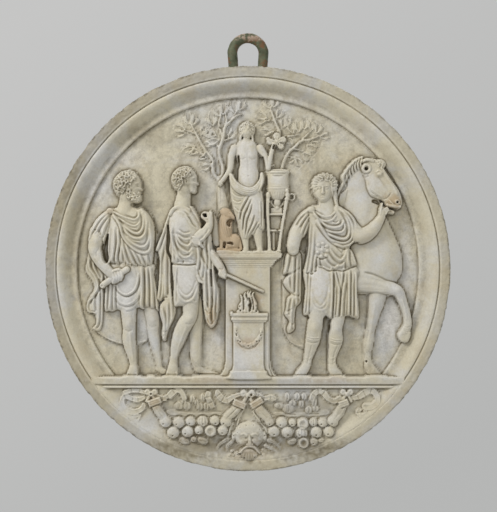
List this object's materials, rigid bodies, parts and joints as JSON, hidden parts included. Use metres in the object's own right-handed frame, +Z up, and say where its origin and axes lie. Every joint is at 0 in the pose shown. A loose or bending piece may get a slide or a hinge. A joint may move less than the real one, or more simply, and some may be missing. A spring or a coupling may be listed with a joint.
{
  "type": "relief roundel",
  "caption": "Round marble relief with a turned frame, a carved altar scene over a ledge, fruit swags and a mask below, and a metal ring at the top to hang it by.",
  "frame": {"origin": "the point at the top of the ring's inside that bears on the hook, in the ring's middle plane", "axes": "+Z up, +X to the viewer's right, the carved front faces -Y, the flat back faces +Y"},
  "size_m": [0.6, 0.0649, 0.6505],
  "materials": {
    "marble": "honed, weathered, carved",
    "painted_iron": "old dark green paint, worn, with rust"
  },
  "bodies": {
    "root": {"marble_roundel": "marble", "hanging_ring": "painted_iron"}
  },
  "joints": []
}
